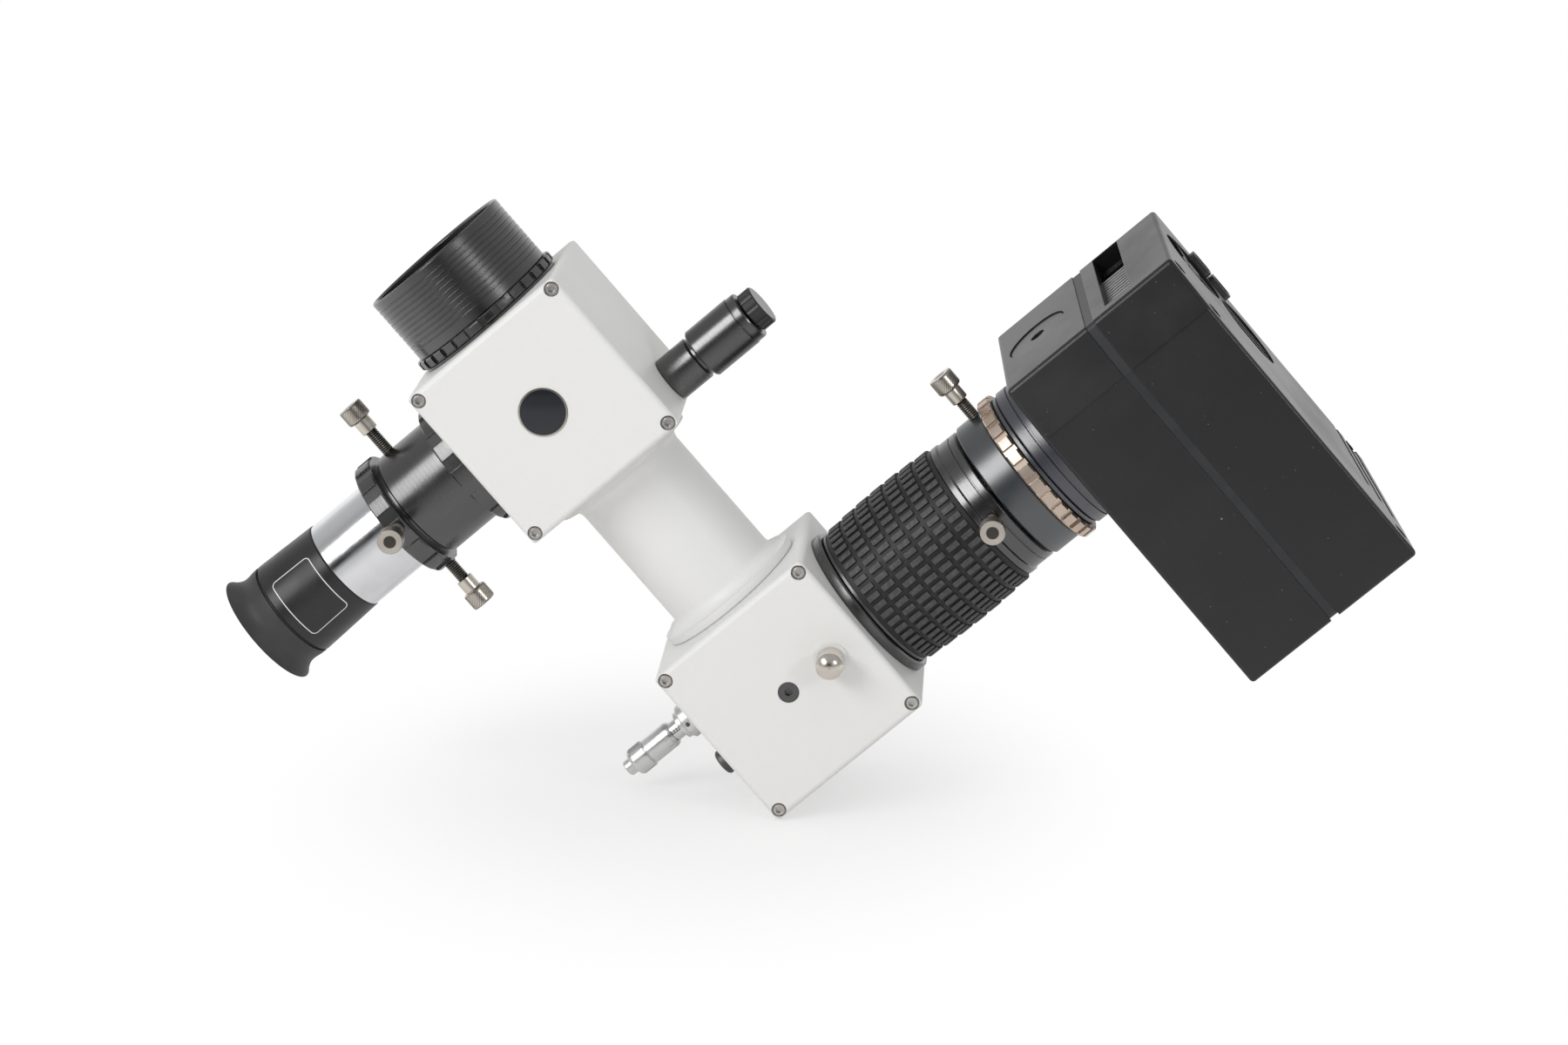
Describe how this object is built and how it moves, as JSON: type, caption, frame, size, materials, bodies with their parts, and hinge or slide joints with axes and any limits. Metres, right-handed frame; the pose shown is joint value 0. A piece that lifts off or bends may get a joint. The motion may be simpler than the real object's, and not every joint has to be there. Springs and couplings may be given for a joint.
{
  "type": "spectrograph",
  "caption": "Slit spectrograph for a telescope: nosepiece, slit box with guiding eyepiece, tilting grating driven by a micrometer, helical focuser and cooled camera.",
  "frame": {"origin": "on the light axis, at the shoulder where the nosepiece seats in a telescope", "axes": "+Z out of the nosepiece, +X towards the camera, -Y towards the front covers"},
  "size_m": [0.3009, 0.082, 0.2626],
  "materials": {
    "white_coat": "satin powder coat",
    "black_anodised": "satin anodised",
    "eyepiece_black": "satin anodised",
    "grip_metal": "satin anodised",
    "collar_teal": "satin anodised",
    "adapter_blue": "glossy anodised",
    "bronze_anodised": "satin anodised",
    "camera_coat": "satin anodised, slightly dusty",
    "fin_metal": "matt anodised",
    "socket_metal": "satin anodised",
    "chrome_barrel": "polished",
    "nickel": "satin nickel plate",
    "micrometer_chrome": "satin chrome plate",
    "screw_steel": "stainless",
    "rubber": "matt",
    "badge_enamel": "glossy domed",
    "lens_glass": "coated",
    "mirror_coat": "first-surface mirror",
    "led_resin": "clear",
    "cell_steel": "satin",
    "board_green": "solder mask",
    "black_plastic": "moulded"
  },
  "bodies": {
    "instrument": {"nosepiece": "black_anodised", "slit_box": "white_coat", "slit_box_cover": "white_coat", "badge": "badge_enamel", "cover_screws": "screw_steel", "slit_carrier": "black_anodised", "slit_plate": "mirror_coat", "holder_ring": "black_anodised", "eyepiece_holder": "black_anodised", "clamp_ring": "black_anodised", "guide_lens": "lens_glass", "lamp_socket": "black_anodised", "lamp_body": "black_anodised", "lamp_led": "led_resin", "lamp_battery": "cell_steel", "main_tube": "white_coat", "collimator_lens": "lens_glass", "collimator_ring": "black_anodised", "grating_box": "white_coat", "grating_box_cover": "white_coat", "pivot_insert": "eyepiece_black", "micrometer_bushing": "micrometer_chrome", "micrometer_sleeve": "micrometer_chrome", "spring_plug": "eyepiece_black", "return_spring": "screw_steel", "focuser_base": "black_anodised", "front_collar": "black_anodised"},
    "lock_ring": {"lock_ring": "black_anodised"},
    "eyepiece": {"eyepiece_barrel": "chrome_barrel", "eyepiece_body": "eyepiece_black", "eyecup": "rubber", "eyepiece_lenses": "lens_glass"},
    "holder_screw": {"holder_screw": "nickel"},
    "clamp_screw_front": {"clamp_screw_front": "nickel"},
    "clamp_screw_bottom": {"clamp_screw_bottom": "nickel"},
    "focus_lock_screw": {"focus_lock_screw": "nickel"},
    "camera_clamp_screw": {"camera_clamp_screw": "nickel"},
    "lamp_knob": {"lamp_knob": "black_anodised"},
    "grating_lock_knob": {"grating_lock_knob": "nickel"},
    "changer_ring": {"changer_ring": "bronze_anodised"},
    "shutter_blade": {"shutter_blade": "black_plastic"},
    "spindle": {"micrometer_spindle": "micrometer_chrome"},
    "thimble": {"micrometer_thimble": "micrometer_chrome"},
    "grating": {"grating_carrier": "black_anodised", "grating": "mirror_coat"},
    "plunger": {"spring_plunger": "screw_steel"},
    "focus_grip": {"focus_grip": "grip_metal", "grip_rubber": "rubber"},
    "drawtube": {"drawtube": "black_anodised", "objective_lens": "lens_glass", "camera_collar": "collar_teal"},
    "camera": {"adapter_ring": "adapter_blue", "camera_front": "camera_coat", "heat_sink": "fin_metal", "camera_rear": "camera_coat", "sensor_board": "board_green", "desiccant_plug": "socket_metal", "rear_connectors": "black_plastic"},
    "fan": {"fan_rotor": "black_plastic"}
  },
  "joints": [
    {"name": "lock_ring_turn", "type": "hinge", "parent": "instrument", "child": "lock_ring", "pos_m": [0, 0, -0.002], "axis": [0, 0, 1], "range_deg": [-180, 180]},
    {"name": "eyepiece_slide", "type": "slide", "parent": "instrument", "child": "eyepiece", "axis": [-1, 0, 0], "range_m": [-0.008, 0.008]},
    {"name": "holder_screw_turn", "type": "hinge", "parent": "instrument", "child": "holder_screw", "pos_m": [-0.0535, 0, -0.0346], "axis": [0, 0, 1], "range_deg": [0, 720]},
    {"name": "clamp_screw_front_turn", "type": "hinge", "parent": "instrument", "child": "clamp_screw_front", "pos_m": [-0.06265, 0, -0.0346], "axis": [0, -1, 0], "range_deg": [0, 720]},
    {"name": "clamp_screw_bottom_turn", "type": "hinge", "parent": "instrument", "child": "clamp_screw_bottom", "pos_m": [-0.06265, 0, -0.0346], "axis": [0, 0, -1], "range_deg": [0, 720]},
    {"name": "lamp_knob_turn", "type": "hinge", "parent": "instrument", "child": "lamp_knob", "pos_m": [0.0628, 0, -0.0559], "axis": [1, 0, 0], "range_deg": [0, 270]},
    {"name": "spindle_slide", "type": "slide", "parent": "instrument", "child": "spindle", "axis": [1, 0, 0], "range_m": [-0.001, 0.001]},
    {"name": "thimble_turn", "type": "hinge", "parent": "spindle", "child": "thimble", "pos_m": [-0.05, 0, -0.1435], "axis": [1, 0, 0], "range_deg": [-720, 720]},
    {"name": "grating_tilt", "type": "hinge", "parent": "instrument", "child": "grating", "pos_m": [0, 0, -0.1507], "axis": [0, 1, 0], "range_deg": [-8, 8]},
    {"name": "plunger_slide", "type": "slide", "parent": "instrument", "child": "plunger", "axis": [1, 0, 0], "range_m": [-0.0015, 0.0015]},
    {"name": "grating_lock_turn", "type": "hinge", "parent": "instrument", "child": "grating_lock_knob", "pos_m": [0.0171, -0.034, -0.1507], "axis": [0, -1, 0], "range_deg": [0, 360]},
    {"name": "focus_grip_turn", "type": "hinge", "parent": "instrument", "child": "focus_grip", "pos_m": [0.05, 0, -0.1507], "axis": [1, 0, 0], "range_deg": [0, 160]},
    {"name": "focus_slide", "type": "slide", "parent": "instrument", "child": "drawtube", "axis": [1, 0, 0], "range_m": [0, 0.008]},
    {"name": "focus_lock_turn", "type": "hinge", "parent": "instrument", "child": "focus_lock_screw", "pos_m": [0.0825, 0, -0.1507], "axis": [0, -1, 0], "range_deg": [0, 720]},
    {"name": "camera_clamp_turn", "type": "hinge", "parent": "drawtube", "child": "camera_clamp_screw", "pos_m": [0.0956, 0, -0.1507], "axis": [0, 0, 1], "range_deg": [0, 720]},
    {"name": "changer_ring_turn", "type": "hinge", "parent": "drawtube", "child": "changer_ring", "pos_m": [0.1, 0, -0.1507], "axis": [1, 0, 0], "range_deg": [-180, 180]},
    {"name": "camera_turn", "type": "hinge", "parent": "drawtube", "child": "camera", "pos_m": [0.112, 0, -0.1507], "axis": [1, 0, 0], "range_deg": [-180, 180]},
    {"name": "shutter_swing", "type": "hinge", "parent": "camera", "child": "shutter_blade", "pos_m": [0.1212, -0.024, -0.1727], "axis": [1, 0, 0], "range_deg": [0, 70.5]},
    {"name": "fan_spin", "type": "hinge", "parent": "camera", "child": "fan", "pos_m": [0.1645, 0.014, -0.1352], "axis": [1, 0, 0], "continuous": true}
  ],
  "couplings": [
    {"joint": "thimble_turn", "follows": "spindle_slide", "rad_per_m": 12566},
    {"joint": "grating_tilt", "follows": "spindle_slide", "rad_per_m": 138.88},
    {"joint": "plunger_slide", "follows": "spindle_slide", "ratio": -1.5},
    {"joint": "focus_grip_turn", "follows": "focus_slide", "rad_per_m": 349.06}
  ]
}
